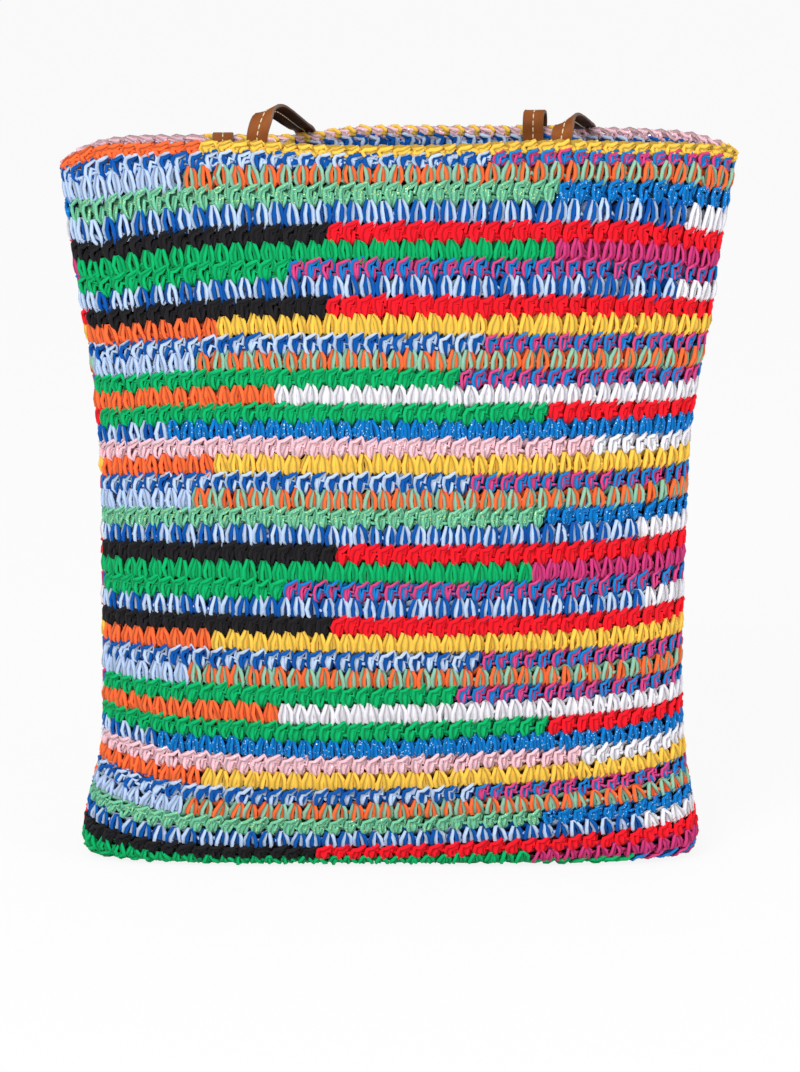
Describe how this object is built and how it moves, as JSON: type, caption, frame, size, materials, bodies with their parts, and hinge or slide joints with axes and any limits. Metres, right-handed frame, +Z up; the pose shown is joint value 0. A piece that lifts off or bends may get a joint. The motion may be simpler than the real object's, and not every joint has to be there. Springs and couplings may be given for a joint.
{
  "type": "crochet shopping bag",
  "caption": "Tall open-topped crochet tote in striped cotton yarns with a cloth lining, leather strap handles thrown back over the rear rim, standing on its base.",
  "frame": {"origin": "middle of the base, on the surface that the bag stands on", "axes": "+Z up through the mouth, -Y towards the front panel, +X towards the bag's right edge seen from the front"},
  "size_m": [0.453, 0.1503, 0.5144],
  "materials": {
    "crochet": "single crochet in cotton yarn, striped in many colours",
    "lining": "plain woven black cotton",
    "leather": "smooth tan leather with a cream stitch line"
  },
  "bodies": {
    "root": {"crochet_body": "crochet", "lining": "lining", "front_handle": "leather", "back_handle": "leather"}
  },
  "joints": []
}
